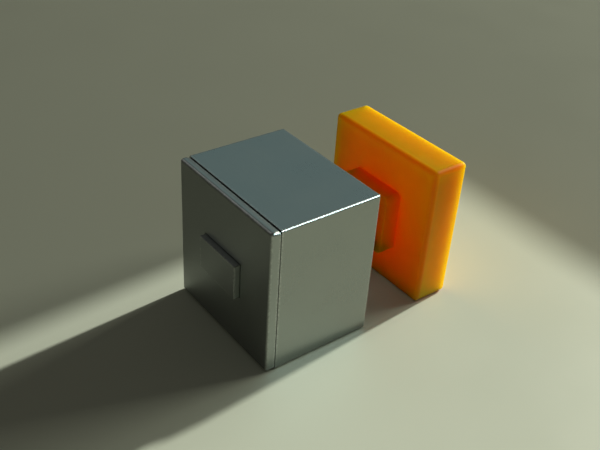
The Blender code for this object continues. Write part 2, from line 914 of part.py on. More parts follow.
# The button and what it drives.
def front_button():
    half_x = BUTTON_WIDTH / 2
    half_z = BUTTON_HEIGHT / 2
    button = block(
        "front_button",
        (-half_x, FRONT - BUTTON_PROUD, MIDDLE - half_z),
        (half_x, FLANGE_BACK - 0.3 * MM, MIDDLE + half_z),
        GUNMETAL,
        radius=0.4 * MM,
        segments=3,
        chosen=rim_of_front,
    )
    join_box(
        button,
        (-half_x - FLANGE_MARGIN, FLANGE_FRONT, MIDDLE - half_z - FLANGE_MARGIN_Z),
        (half_x + FLANGE_MARGIN, FLANGE_BACK, MIDDLE + half_z + FLANGE_MARGIN_Z),
    )
    cut_hole(
        button,
        (0, FLANGE_BACK - 4.35 * MM, MIDDLE),
        (0, FLANGE_BACK + WALL, MIDDLE),
        1.55 * MM,
        sides=SCREW_SIDES,
    )
    return button


def lock_cam():
    """A wedge that narrows towards the back at 45 degrees, above and below."""

    def narrow(corner):
        height = CAM_ROOT if corner.y < 0 else CAM_TIP
        return Vector((corner.x, corner.y, math.copysign(height, corner.z)))

    cam = block(
        "lock_cam",
        (-CAM_HALF, CAM_FRONT, MIDDLE - CAM_ROOT),
        (CAM_HALF, CAM_BACK, MIDDLE + CAM_ROOT),
        BRASS,
        reshape=narrow,
    )
    cut_hole(
        cam,
        (0, CAM_FRONT - WALL, MIDDLE),
        (0, CAM_BACK + WALL, MIDDLE),
        1.55 * MM,
        sides=SCREW_SIDES,
    )
    cut_hole(
        cam,
        (0, CAM_BACK - 2 * MM, MIDDLE),
        (0, CAM_BACK + WALL, MIDDLE),
        2.6 * MM,
        sides=SCREW_SIDES,
    )
    return cam


def cam_screw():
    mesh = screw_mesh(2.2 * MM, 1.5 * MM, 1.25 * MM, 9 * MM, False, 1 * MM)
    place = (0, CAM_BACK - 0.2 * MM, MIDDLE)
    return turned("cam_screw", mesh, place, (0, 1, 0), STEEL)


def button_assembly():
    parts = [front_button(), lock_cam(), cam_screw()]
    carry(body("button_body", (0, FRONT - BUTTON_PROUD, MIDDLE)), *parts)


def bolt(name, side):
    """A sliding bolt: its inner end slopes to match the wedge, and its round stem reaches for the strike."""
    clear = GAP * math.sqrt(2)
    # The wedge's surface is this far from the middle where the bolt's front face stands.
    front_reach = CAM_ROOT - (BOLT_FRONT - CAM_FRONT) + clear
    back_reach = front_reach - BOLT_THICKNESS
    low, high = sorted(MIDDLE + side * reach for reach in (back_reach, BOLT_SHOULDER))
    middle = (low + high) / 2

    def slope(corner):
        inner = corner.z * side < 0
        if inner and corner.y < 0:
            return Vector((corner.x, corner.y, MIDDLE + side * front_reach - middle))
        return corner

    piece = block(
        f"bolt_{name}",
        (-CAM_HALF, BOLT_FRONT, low),
        (CAM_HALF, BOLT_BACK, high),
        STEEL,
        reshape=slope,
    )
    join_rod(
        piece,
        (0, BOLT_Y, MIDDLE + side * (BOLT_SHOULDER - 1 * MM)),
        (0, BOLT_Y, MIDDLE + side * BOLT_END),
        STEM_RADIUS,
    )
    carry(body(f"{name}_bolt_body", (0, BOLT_Y, MIDDLE)), piece)


def bolt_spring(name, side):
    """A coil round the bolt's stem, from the bolt's shoulder to the channel's end."""
    start = BOLT_SHOULDER + GAP + SPRING_WIRE
    length = CHANNEL_END - GAP - SPRING_WIRE - start
    per_turn = 12
    steps = SPRING_TURNS * per_turn
    curve = bpy.data.curves.new(f"bolt_spring_{name}", "CURVE")
    curve.dimensions = "3D"
    curve.bevel_depth = SPRING_WIRE
    curve.bevel_resolution = 2
    curve.use_fill_caps = True
    spline = curve.splines.new("POLY")
    spline.points.add(steps)
    for step, point in enumerate(spline.points):
        angle = 2 * math.pi * step / per_turn
        point.co = (
            SPRING_RADIUS * math.cos(angle),
            SPRING_RADIUS * math.sin(angle),
            side * (start + length * step / steps),
            1,
        )
    curve.materials.append(STEEL)
    coil = bpy.data.objects.new(f"bolt_spring_{name}", curve)
    coil.location = (0, BOLT_Y, MIDDLE)
    PARTS.objects.link(coil)
    return coil


# The key block.
def key_block():
    """A thick translucent plate with a square plug, which holds two magnets in its end and two in its underside."""
    plug_front = BLOCK_FRONT - PLUG_LENGTH
    half = PLUG_SIDE / 2
    made = block(
        "key_block",
        (-HALF_WIDTH, BLOCK_FRONT, 0),
        (HALF_WIDTH, BLOCK_BACK, HEIGHT),
        ORANGE,
        radius=BLOCK_ROUNDING,
        segments=4,
    )
    join_box(
        made,
        (-half, plug_front, MIDDLE - half),
        (half, BLOCK_FRONT + 4 * MM, MIDDLE + half),
        radius=PLUG_ROUNDING,
        segments=4,
        chosen=along_y,
    )
    magnets = []
    for name, side in SIDES:
        cut_hole(
            made,
            (side * MAGNET_X, plug_front - WALL, MAGNET_Z),
            (side * MAGNET_X, plug_front + 3.5 * MM, MAGNET_Z),
            MAGNET_RADIUS + GAP,
        )
        magnets.append(
            rod(
                f"key_magnet_{name}",
                (side * MAGNET_X, plug_front + 0.2 * MM, MAGNET_Z),
                (side * MAGNET_X, plug_front + 3.2 * MM, MAGNET_Z),
                MAGNET_RADIUS,
                NICKEL,
            )
        )
        low = MIDDLE - half
        cut_hole(
            made,
            (side * PIN_X, LIFT_MAGNET_Y, low - WALL),
            (side * PIN_X, LIFT_MAGNET_Y, low + 3.5 * MM),
            LIFT_MAGNET_RADIUS + GAP,
        )
        magnets.append(
            rod(
                f"lift_magnet_{name}",
                (side * PIN_X, LIFT_MAGNET_Y, low + 0.2 * MM),
                (side * PIN_X, LIFT_MAGNET_Y, low + 3.2 * MM),
                LIFT_MAGNET_RADIUS,
                NICKEL,
            )
        )
    carry(body("key_body", (0, BLOCK_FRONT, 0)), made, *magnets)


def main():
    root = body("case_body")
    carry(
        root,
        *case_shell(),
        *rails(),
        *strikes(),
        *back_frame(),
        *back_panel(),
        *back_screws(),
        *socket_cup(),
        *socket_fittings(),
        *pin_bushes(),
    )
    drawer = body("drawer_body", (0, FRONT, MIDDLE))
    carry(
        drawer,
        *front_cover(),
        *drawer_tray(),
        *tray_liner(),
        *runners(),
        *lock_housing(),
        *drawer_fasteners(),
        *keeper_magnet(),
        bolt_spring("upper", 1),
        bolt_spring("lower", -1),
    )
    button_assembly()
    bolt("upper", 1)
    bolt("lower", -1)
    key_block()
    for name, side in SIDES:
        lock_pin(name, side)


main()
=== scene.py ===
"""Puzzle box: visible pieces, materials, floor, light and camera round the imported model."""

import json
import math

import bmesh
import bpy
from mathutils import Matrix, Vector


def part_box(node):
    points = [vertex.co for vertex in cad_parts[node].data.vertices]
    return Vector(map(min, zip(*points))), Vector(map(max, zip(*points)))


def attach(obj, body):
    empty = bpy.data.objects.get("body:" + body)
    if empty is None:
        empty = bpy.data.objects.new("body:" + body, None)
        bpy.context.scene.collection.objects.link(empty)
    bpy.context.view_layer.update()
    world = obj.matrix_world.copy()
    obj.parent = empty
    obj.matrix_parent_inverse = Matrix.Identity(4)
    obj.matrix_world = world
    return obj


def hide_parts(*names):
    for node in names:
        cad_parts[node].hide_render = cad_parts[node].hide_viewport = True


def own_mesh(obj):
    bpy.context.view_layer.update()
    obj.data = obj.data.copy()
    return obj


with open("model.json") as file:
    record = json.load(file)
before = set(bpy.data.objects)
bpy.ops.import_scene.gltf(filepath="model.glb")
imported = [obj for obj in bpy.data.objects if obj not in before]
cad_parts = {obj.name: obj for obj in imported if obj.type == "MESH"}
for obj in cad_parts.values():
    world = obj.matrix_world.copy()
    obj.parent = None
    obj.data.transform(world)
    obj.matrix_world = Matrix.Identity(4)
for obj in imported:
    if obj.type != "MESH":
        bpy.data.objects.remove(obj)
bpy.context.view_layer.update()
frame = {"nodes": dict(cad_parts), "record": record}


MM = 0.001
CORNER_STEPS = 8
ROD_SIDES = 40
CREASE = math.radians(38)

# Where the CAD put things.
CASE_LOW, CASE_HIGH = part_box("case_shell")
COVER_LOW, COVER_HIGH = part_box("front_cover")
BUTTON_LOW, BUTTON_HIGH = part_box("front_button")
BLOCK_LOW, BLOCK_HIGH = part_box("key_block")
PANEL_LOW, PANEL_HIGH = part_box("back_panel")
CUP_LOW, CUP_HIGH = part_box("socket_cup")
TRAY_LOW, TRAY_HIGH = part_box("drawer_tray")
LINER_LOW, LINER_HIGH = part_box("tray_liner")

HALF_WIDTH = CASE_HIGH.x
MIDDLE = (CASE_LOW.z + CASE_HIGH.z) / 2
HALF_HEIGHT = (CASE_HIGH.z - CASE_LOW.z) / 2
WALL = 2.5 * MM
CASE_ROUNDING = 1.2 * MM

BUTTON_HALF_X = 15.2 * MM
BUTTON_HALF_Z = 9.5 * MM
BLOCK_FRONT = BLOCK_LOW.y + 10 * MM
CUP_HALF = 19.2 * MM
CUP_FLANGE_BACK = PANEL_LOW.y - 0.3 * MM

# Magnets and screws, and the pockets and holes that hold them.
MAGNET_X = 6 * MM
MAGNET_Z = 30 * MM
MAGNET_POCKET = 4.3 * MM
LIFT_MAGNET_X = 12 * MM
COVER_SCREW_X = 26 * MM
COVER_SCREW_Z = 24 * MM
HOUSING_SCREW_X = 17 * MM
HOUSING_SCREW_Z = 22 * MM
SOCKET_SCREW_X = 21.8 * MM
HOLE_RADIUS = 1.3 * MM
BACK_SCREWS = [
    ((screw[0].x + screw[1].x) / 2, (screw[0].z + screw[1].z) / 2)
    for screw in ([Vector(c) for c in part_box(f"back_screw_{number}")] for number in range(1, 5))
]

# Noise scales of the polish on each axis. Its strokes lie close together on the axis with the large number.
POLISH_ROUND = (260, 3600, 260)
POLISH_LEVEL = (260, 260, 3600)


# ---------------------------------------------------------------- meshes
def outline(half_x, low, high, radius):
    """A rounded rectangle as (x, z) points, anticlockwise from the front, from its lower right corner."""
    points = []
    for turn, (side_x, side_z) in enumerate(((1, -1), (1, 1), (-1, 1), (-1, -1))):
        centre_x = side_x * (half_x - radius)
        centre_z = high - radius if side_z > 0 else low + radius
        for step in range(CORNER_STEPS + 1):
            angle = math.radians(-90 + 90 * turn + 90 * step / CORNER_STEPS)
            points.append(
                (centre_x + radius * math.cos(angle), centre_z + radius * math.sin(angle))
            )
    return points


def circle(radius, centre):
    """The same number of points as an outline, on a circle."""
    count = 4 * (CORNER_STEPS + 1)
    points = []
    for index in range(count):
        angle = 2 * math.pi * (index + 0.5) / count - math.pi / 2
        points.append(
            (centre[0] + radius * math.cos(angle), centre[1] + radius * math.sin(angle))
        )
    return points


def finish_mesh(bm, name, look=None):
    bmesh.ops.remove_doubles(bm, verts=bm.verts, dist=1e-7)
    bmesh.ops.dissolve_degenerate(bm, edges=bm.edges, dist=1e-7)
    bmesh.ops.recalc_face_normals(bm, faces=bm.faces)
    mesh = bpy.data.meshes.new(name)
    bm.to_mesh(mesh)
    bm.free()
    mesh.shade_smooth()
    mesh.set_sharp_from_angle(angle=CREASE)
    obj = bpy.data.objects.new(name, mesh)
    bpy.context.scene.collection.objects.link(obj)
    if look:
        mesh.materials.append(look)
    return obj


def even_normals(obj):
    """Flat faces keep flat shading right up to their rounded edges."""
    modifier = obj.modifiers.new("even_normals", "WEIGHTED_NORMAL")
    modifier.mode = "FACE_AREA"
    modifier.weight = 50
    modifier.keep_sharp = True
    return obj


def skin(bm, rows, ring=False):
    """Faces between rows of vertices. A ring's last row joins its first, and others are capped."""
    count = len(rows[0])
    pairs = list(zip(rows, rows[1:]))
    if ring:
        pairs.append((rows[-1], rows[0]))
    for near, far in pairs:
        for i in range(count):
            j = (i + 1) % count
            bm.faces.new((near[i], near[j], far[j], far[i]))
    if not ring:
        bm.faces.new(rows[0])
        bm.faces.new(rows[-1])


def loft(name, loops, look, ring=False, turn=None):
    """A piece whose skin passes through loops of (x, z) points, each at its own y."""
    bm = bmesh.new()
    rows = []
    for y, points in loops:
        rows.append([bm.verts.new((x, y, z)) for x, z in points])
    skin(bm, rows, ring)
    if turn:
        bmesh.ops.transform(bm, matrix=turn, verts=bm.verts)
    return finish_mesh(bm, name, look)


def quarter(start, end, centre, steps):
    """Points of an arc about a centre, from start to end, in the plane of a section."""
    first = math.atan2(start[1] - centre[1], start[0] - centre[0])
    last = math.atan2(end[1] - centre[1], end[0] - centre[0])
    if last - first > math.pi:
        last -= 2 * math.pi
    if first - last > math.pi:
        last += 2 * math.pi
    radius = math.dist(start, centre)
    return [
        (
            centre[0] + radius * math.cos(first + (last - first) * step / steps),
            centre[1] + radius * math.sin(first + (last - first) * step / steps),
        )
        for step in range(steps + 1)
    ]


def rod(name, start, end, radius):
    """A cylinder between two points."""
    start, end = Vector(start), Vector(end)
    bm = bmesh.new()
    bmesh.ops.create_cone(
        bm,
        cap_ends=True,
        segments=ROD_SIDES,
        radius1=radius,
        radius2=radius,
        depth=(end - start).length,
    )
    turn = Vector((0, 0, 1)).rotation_difference(end - start).to_matrix().to_4x4()
    bmesh.ops.transform(bm, matrix=Matrix.Translation((start + end) / 2) @ turn, verts=bm.verts)
    return finish_mesh(bm, name)


def slab(name, low, high):
    """A box between two corners."""
    low, high = Vector(low), Vector(high)
    bm = bmesh.new()
    bmesh.ops.create_cube(bm, size=1)
    bmesh.ops.scale(bm, vec=high - low, verts=bm.verts)
    bmesh.ops.translate(bm, vec=(low + high) / 2, verts=bm.verts)
    return finish_mesh(bm, name)


def cut_away(obj, cutters):
    """Cuts other solids out of a piece and uses them up."""
    for cutter in cutters:
        modifier = obj.modifiers.new("cut", "BOOLEAN")
        modifier.operation = "DIFFERENCE"
        modifier.solver = "EXACT"
        modifier.object = cutter
    graph = bpy.context.evaluated_depsgraph_get()
    mesh = bpy.data.meshes.new_from_object(obj.evaluated_get(graph))
    obj.modifiers.clear()
    obj.data = mesh
    for cutter in cutters:
        bpy.data.objects.remove(cutter)
    mesh.shade_smooth()
    mesh.set_sharp_from_angle(angle=CREASE)


# ---------------------------------------------------------------- materials
class Look:
    """A node material with short calls for the nodes it needs."""

    def __init__(self, name, colour, roughness, metallic=0.0):
        self.material = bpy.data.materials.new(name)
        self.material.use_nodes = True
        self.nodes = self.material.node_tree.nodes
        self.links = self.material.node_tree.links
        self.shader = self.nodes["Principled BSDF"]
        self.shader.inputs["Base Color"].default_value = (*colour, 1)
        self.shader.inputs["Roughness"].default_value = roughness
        self.shader.inputs["Metallic"].default_value = metallic
        self.place = self.nodes.new("ShaderNodeTexCoord").outputs["Object"]

    def join(self, source, target):
        if hasattr(source, "links"):
            self.links.new(source, target)
        else:
            target.default_value = source

    def stretched(self, scale):
        mapping = self.nodes.new("ShaderNodeMapping")
        mapping.inputs["Scale"].default_value = scale
        self.join(self.place, mapping.inputs["Vector"])
        return mapping.outputs["Vector"]

    def noise(self, scale, detail=3, rough=0.5, vector=None, distortion=0.0):
        node = self.nodes.new("ShaderNodeTexNoise")
        node.inputs["Scale"].default_value = scale
        node.inputs["Detail"].default_value = detail
        node.inputs["Roughness"].default_value = rough
        node.inputs["Distortion"].default_value = distortion
        self.join(vector or self.place, node.inputs["Vector"])
        return node.outputs["Fac"]

    def cells(self, scale, feature="F1"):
        node = self.nodes.new("ShaderNodeTexVoronoi")
        node.feature = feature
        node.inputs["Scale"].default_value = scale
        self.join(self.place, node.inputs["Vector"])
        return node.outputs["Distance"]

    def spread(self, value, low, high, to_low=0.0, to_high=1.0):
        node = self.nodes.new("ShaderNodeMapRange")
        node.interpolation_type = "SMOOTHSTEP"
        limits = {"From Min": low, "From Max": high, "To Min": to_low, "To Max": to_high}
        for name, number in limits.items():
            node.inputs[name].default_value = number
        self.join(value, node.inputs["Value"])
        return node.outputs["Result"]

    def sum(self, first, second, operation="ADD"):
        node = self.nodes.new("ShaderNodeMath")
        node.operation = operation
        self.join(first, node.inputs[0])
        self.join(second, node.inputs[1])
        return node.outputs[0]

    def mix(self, factor, first, second):
        node = self.nodes.new("ShaderNodeMix")
        node.data_type = "RGBA"
        self.join(factor, node.inputs["Factor"])
        for value, socket in ((first, node.inputs[6]), (second, node.inputs[7])):
            self.join((*value, 1) if isinstance(value, tuple) else value, socket)
        return node.outputs[2]

    def axis(self, index):
        split = self.nodes.new("ShaderNodeSeparateXYZ")
        self.join(self.place, split.inputs[0])
        return split.outputs[index]

    def scale(self, colour, factor):
        node = self.nodes.new("ShaderNodeVectorMath")
        node.operation = "SCALE"
        self.join(colour, node.inputs[0])
        self.join(factor, node.inputs["Scale"])
        return node.outputs[0]

    def edge_distance(self, low, high):
        """How far a point on a box's surface is from the box's nearest edge."""
        split = self.nodes.new("ShaderNodeSeparateXYZ")
        self.join(self.place, split.inputs[0])
        gaps = []
        for axis in range(3):
            middle = (low[axis] + high[axis]) / 2
            half = (high[axis] - low[axis]) / 2
            off = self.sum(split.outputs[axis], middle, "SUBTRACT")
            gaps.append(self.sum(half, self.sum(off, 0.0, "ABSOLUTE"), "SUBTRACT"))
        first, second, third = gaps
        lesser = self.sum(first, second, "MINIMUM")
        greater = self.sum(first, second, "MAXIMUM")
        return self.sum(lesser, self.sum(greater, third, "MINIMUM"), "MAXIMUM")

    def bump(self, height, strength, distance, under=None):
        node = self.nodes.new("ShaderNodeBump")
        node.inputs["Strength"].default_value = strength
        node.inputs["Distance"].default_value = distance
        self.join(height, node.inputs["Height"])
        if under:
            self.join(under, node.inputs["Normal"])
        return node.outputs["Normal"]

    def end(self, colour=None, roughness=None, normal=None):
        for value, name in ((colour, "Base Color"), (roughness, "Roughness"), (normal, "Normal")):
            if value is not None:
                self.join(value, self.shader.inputs[name])
        return self.material


def gunmetal(name, low, high, grain, rough, face=None):
    """Satin gunmetal: a fine blasted grain under a faint linear polish, with painted glints that lighten
    the edges in flecks.
    """
    look = Look(name, (0.33, 0.345, 0.33), rough, 1.0)
    cloud = look.noise(28, 3)
    fine = look.noise(5200, 2)
    polish = look.noise(1, 4, 0.6, look.stretched(grain))
    glint_noise = look.noise(900, 4, 0.65)
    edge = look.spread(look.edge_distance(low, high), 0.0003, 0.0016, 1, 0)
    # Painted glint: flecks along the edges get a lighter colour and a little more roughness.
    edge_glint = look.sum(edge, look.spread(glint_noise, 0.42, 0.62), "MULTIPLY")
    colour = look.mix(cloud, (0.305, 0.325, 0.315), (0.36, 0.375, 0.355))
    colour = look.mix(look.spread(polish, 0.3, 0.7, 0, 0.16), colour, (0.26, 0.28, 0.275))
    colour = look.mix(look.sum(edge_glint, 0.6, "MULTIPLY"), colour, (0.56, 0.57, 0.55))
    rough = look.spread(cloud, 0.3, 0.7, rough - 0.025, rough + 0.025)
    rough = look.sum(rough, look.spread(polish, 0.3, 0.7, -0.015, 0.02))
    rough = look.sum(rough, look.sum(edge_glint, 0.05, "MULTIPLY"))
    if face is not None:
        # The front face: its colour is 14% darker and its surface is rougher.
        front_face_mask = look.spread(look.axis(1), face + 0.0002, face + 0.0009, 1, 0)
        front_darkening = look.sum(front_face_mask, 0.14, "MULTIPLY")
        colour = look.scale(colour, look.sum(1.0, front_darkening, "SUBTRACT"))
        rough = look.sum(rough, look.sum(front_face_mask, 0.17, "MULTIPLY"))
    normal = look.bump(fine, 0.06, 0.00004)
    normal = look.bump(polish, 0.04, 0.00003, normal)
    normal = look.bump(look.noise(260, 2), 0.025, 0.0002, normal)
    return look.end(colour, rough, normal)


def orange_resin():
    """Tinted translucent resin with a cloudy body and a softly polished skin, and painted light and shade
    in its colour: by height, on the sides, along the plate's edges and in the plug.
    """
    look = Look("orange_resin_block", (0.95, 0.4, 0.002), 0.45)
    shader = look.shader
    shader.inputs["Subsurface Weight"].default_value = 1.0
    shader.inputs["Subsurface Radius"].default_value = (1.0, 0.6, 0.02)
    shader.inputs["Subsurface Scale"].default_value = 0.045
    shader.inputs["Specular IOR Level"].default_value = 0.08
    cloud = look.noise(55, 4, 0.55, distortion=0.6)
    speck = look.noise(2600, 2)
    veins = look.spread(cloud, 0.3, 0.7, 0.965, 1.02)
    # Painted light and shade by height: the front is lighter towards its top, and the sides, top and back
    # are darker towards the top.
    height = look.spread(look.axis(2), 0.01, 0.075)
    colour = look.mix(height, (0.94, 0.27, 0.0015), (0.94, 0.46, 0.002))
    # Painted light and shade: behind the front face, the sides, top and back take their own colours.
    sides = look.mix(height, (0.88, 0.43, 0.0015), (0.7, 0.345, 0.002))
    painted_side_light_mask = look.spread(look.axis(1), BLOCK_FRONT + 0.001, BLOCK_FRONT + 0.004)
    colour = look.mix(painted_side_light_mask, colour, sides)
    plate_front = (BLOCK_LOW.x, BLOCK_FRONT, BLOCK_LOW.z)
    # Painted shade: a darker, redder band along the plate's edges, damping the glow there.
    rim = look.spread(look.edge_distance(plate_front, BLOCK_HIGH), 0.0004, 0.0034, 1, 0)
    colour = look.mix(rim, colour, (0.86, 0.2, 0.0015))
    # Painted shade: the plug is coloured a deeper red than the plate.
    painted_plug_shade = look.spread(look.axis(1), BLOCK_FRONT - 0.001, BLOCK_FRONT + 0.0005, 1, 0)
    colour = look.mix(painted_plug_shade, colour, (0.9, 0.17, 0.001))
    colour = look.scale(colour, veins)
    rough = look.spread(look.noise(420, 4), 0.3, 0.7, 0.38, 0.52)
    normal = look.bump(speck, 0.05, 0.00005)
    normal = look.bump(look.noise(180, 2), 0.08, 0.0003, normal)
    return look.end(colour, rough, normal)


def machined(name, colour, dark, roughness, lines=2400):
    """Turned or milled metal: fine rings of tool marks, and a little tarnish."""
    look = Look(name, colour, roughness, 1.0)
    marks = look.noise(lines, 2, 0.6)
    tarnish = look.noise(240, 4, 0.6)
    tone = look.mix(look.spread(tarnish, 0.35, 0.7), colour, dark)
    rough = look.spread(marks, 0.3, 0.7, roughness - 0.06, roughness + 0.08)
    return look.end(tone, rough, look.bump(marks, 0.12, 0.00004))


def blasted(name, colour, roughness):
    """Bead-blasted aluminium: an even, fine, matte pitting."""
    look = Look(name, colour, roughness, 1.0)
    pits = look.cells(4200)
    stain = look.noise(60, 3)
    tone = look.mix(look.spread(stain, 0.3, 0.7), tuple(0.88 * part for part in colour), colour)
    rough = look.spread(pits, 0.1, 0.7, roughness - 0.05, roughness + 0.07)
    return look.end(tone, rough, look.bump(pits, 0.35, 0.00005))


def moulded(name, colour, roughness):
    """Moulded plastic with a fine leathery texture and a few shiny rubbed spots."""
    look = Look(name, colour, roughness)
    texture = look.cells(2300, "SMOOTH_F1")
    rubbed = look.noise(90, 4, 0.6)
    light = tuple(min(1, 1.5 * part + 0.01) for part in colour)
    tone = look.mix(look.spread(rubbed, 0.45, 0.75), colour, light)
    rough = look.spread(rubbed, 0.4, 0.75, roughness, roughness - 0.12)
    return look.end(tone, rough, look.bump(texture, 0.25, 0.00006))


def felt(name, colour):
    """Pressed wool: tangled short fibres and a soft sheen."""
    look = Look(name, colour, 0.95)
    look.shader.inputs["Sheen Weight"].default_value = 0.5
    look.shader.inputs["Sheen Roughness"].default_value = 0.6
    fibres = look.noise(1, 5, 0.7, look.stretched((2600, 900, 1800)), distortion=2.5)
    more = look.noise(1, 5, 0.7, look.stretched((800, 2800, 1500)), distortion=2.5)
    tangle = look.sum(fibres, more, "MAXIMUM")
    light = tuple(2.2 * part for part in colour)
    tone = look.mix(look.spread(tangle, 0.4, 0.75), colour, light)
    return look.end(tone, None, look.bump(tangle, 0.7, 0.0003))


# ---------------------------------------------------------------- the case
def case_shell():
    """A square tube whose walls, rims and inside corners are one skin."""
    front, back = CASE_LOW.y, CASE_HIGH.y
    near = 0.12 * MM
    far = 0.5 * MM
    inner = 0.3 * MM
    section = [(front, inner + near)]
    section += quarter((front, near), (front + near, 0), (front + near, near), 3)
    section += quarter((back - far, 0), (back, far), (back - far, far), 5)
    section += [(back, WALL - inner), (back - inner, WALL)]
    section += [(front + inner, WALL), (front, WALL - inner)]
    loops = []
    for y, inset in section:
        radius = max(CASE_ROUNDING - inset, inner)
        loops.append(
            (y, outline(HALF_WIDTH - inset, inset, 2 * MIDDLE - inset, radius))
        )
    look = gunmetal("gunmetal_case", CASE_LOW, CASE_HIGH, POLISH_ROUND, 0.3)
    shell = even_normals(loft("case_shell_skin", loops, look, ring=True))
    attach(shell, "case")
    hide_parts("case_shell")


def front_cover():
    """The drawer's front: rounded, with a nail groove along the top of its seam and a button window."""
    front = COVER_LOW.y
    rebate_back = COVER_HIGH.y
    back = front + 5 * MM
    low, high = COVER_LOW.z, COVER_HIGH.z
    radius = 1.7 * MM
    window_x = BUTTON_HALF_X + 0.3 * MM
    window_z = BUTTON_HALF_Z + 0.3 * MM
    pocket_x = BUTTON_HALF_X + 2.8 * MM
    pocket_z = BUTTON_HALF_Z + 3.2 * MM
    rebate_x = HALF_WIDTH - WALL - 0.4 * MM
    rebate_z = HALF_HEIGHT - WALL - 0.4 * MM
    groove = 0.6 * MM
    groove_start = back - 2.2 * MM

    def outer(y, inset, drop=0.0):
        """drop lowers the top only."""
        rounding = max(radius - inset, 0.05 * MM)
        return y, outline(HALF_WIDTH - inset, low + inset, high - inset - drop, rounding)

    def inner(y, half_x, half_z, rounding):
        return y, outline(half_x, MIDDLE - half_z, MIDDLE + half_z, rounding)

    loops = [
        outer(y, inset)
        for y, inset in quarter((front, radius), (front + radius, 0), (front + radius, radius), 8)
    ]
    loops.append(outer(groove_start, 0))
    loops.append(outer(back - 0.1 * MM, 0, groove))
    loops.append(outer(back, 0.1 * MM, groove))
    loops.append(inner(back, rebate_x, rebate_z, 0.2 * MM))
    loops.append(inner(rebate_back - 0.2 * MM, rebate_x, rebate_z, 0.2 * MM))
    loops.append(inner(rebate_back, rebate_x - 0.2 * MM, rebate_z - 0.2 * MM, 0.2 * MM))
    loops.append(inner(rebate_back, pocket_x, pocket_z, 0.2 * MM))
    loops.append(inner(back, pocket_x, pocket_z, 0.2 * MM))
    loops.append(inner(back, window_x, window_z, 0.1 * MM))
    loops.append(inner(front + 0.12 * MM, window_x, window_z, 0.1 * MM))
    loops.append(inner(front, window_x + 0.12 * MM, window_z + 0.12 * MM, 0.15 * MM))
    plate_high = Vector((HALF_WIDTH, back, high))
    look = gunmetal("gunmetal_cover", COVER_LOW, plate_high, POLISH_LEVEL, 0.34, front)
    cover = loft("front_cover_skin", loops, look, ring=True)
    holes = []
    for x in (-COVER_SCREW_X, COVER_SCREW_X):
        for z in (MIDDLE - COVER_SCREW_Z, MIDDLE + COVER_SCREW_Z):
            start = (x, back - 2.65 * MM, z)
            holes.append(rod("hole", start, (x, rebate_back + WALL, z), 1.8 * MM))
    for side in (-1, 1):
        x = side * HOUSING_SCREW_X
        z = MIDDLE - side * HOUSING_SCREW_Z
        start = (x, back - 2.25 * MM, z)
        holes.append(rod("hole", start, (x, rebate_back + WALL, z), HOLE_RADIUS))
    cut_away(cover, holes)
    even_normals(cover)
    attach(cover, "drawer")
    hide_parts("front_cover")


def front_button():
    front, back = BUTTON_LOW.y, BUTTON_HIGH.y
    half_x, half_z = BUTTON_HALF_X, BUTTON_HALF_Z
    edge = 0.35 * MM
    flange_front = back - 1.2 * MM
    corner = 0.5 * MM

    def face(y, inset, grow_x=0.0, grow_z=0.0):
        return y, outline(
            half_x + grow_x - inset,
            MIDDLE - half_z - grow_z + inset,
            MIDDLE + half_z + grow_z - inset,
            max(corner - inset, 0.1 * MM),
        )

    loops = [
        face(y, inset)
        for y, inset in quarter((front, edge), (front + edge, 0), (front + edge, edge), 5)
    ]
    loops.append(face(flange_front, 0))
    loops.append(face(flange_front, 0, 2.2 * MM, 2.6 * MM))
    loops.append(face(back, 0, 2.2 * MM, 2.6 * MM))
    loops.append((back, circle(1.55 * MM, (0, MIDDLE))))
    loops.append((back - 4.35 * MM, circle(1.55 * MM, (0, MIDDLE))))
    look = gunmetal(
        "gunmetal_button",
        (-half_x, front, MIDDLE - half_z),
        (half_x, back, MIDDLE + half_z),
        POLISH_LEVEL,
        0.38,
        front,
    )
    button = even_normals(loft("front_button_skin", loops, look))
    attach(button, "button")
    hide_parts("front_button")


def key_block():
    """The resin plate and its plug as one skin, with pockets for the four magnets."""
    plate_front = BLOCK_FRONT
    back = BLOCK_HIGH.y
    radius = 2.4 * MM
    plug_front = BLOCK_LOW.y
    plug_half = 17.5 * MM
    plug_radius = 3 * MM
    plug_edge = 0.6 * MM
    fillet = 0.5 * MM

    def plate(y, inset):
        return y, outline(
            HALF_WIDTH - inset, inset, 2 * MIDDLE - inset, max(radius - inset, 0.0)
        )

    def plug(y, inset):
        half = plug_half - inset
        return y, outline(half, MIDDLE - half, MIDDLE + half, plug_radius - inset)

    loops = [
        plug(y, inset)
        for y, inset in quarter(
            (plug_front, plug_edge),
            (plug_front + plug_edge, 0),
            (plug_front + plug_edge, plug_edge),
            4,
        )
    ]
    loops += [
        plug(y, inset)
        for y, inset in quarter(
            (plate_front - fillet, 0), (plate_front, -fillet), (plate_front - fillet, -fillet), 4
        )
    ]
    loops += [
        plate(y, inset)
        for y, inset in quarter(
            (plate_front, radius), (plate_front + radius, 0), (plate_front + radius, radius), 8
        )
    ]
    loops += [
        plate(y, inset)
        for y, inset in quarter((back - radius, 0), (back, radius), (back - radius, radius), 8)
    ]
    block = loft("key_block_skin", loops, orange_resin())
    pockets = []
    deep = 3.5 * MM
    for side in (-1, 1):
        x = side * MAGNET_X
        start = (x, plug_front - WALL, MAGNET_Z)
        pockets.append(rod("pocket", start, (x, plug_front + deep, MAGNET_Z), MAGNET_POCKET))
        x = side * LIFT_MAGNET_X
        y = plate_front - 5.95 * MM
        low = MIDDLE - plug_half
        pockets.append(rod("pocket", (x, y, low - WALL), (x, y, low + deep), 3.3 * MM))
    cut_away(block, pockets)
    even_normals(block)
    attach(block, "key")
    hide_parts("key_block")
    return block


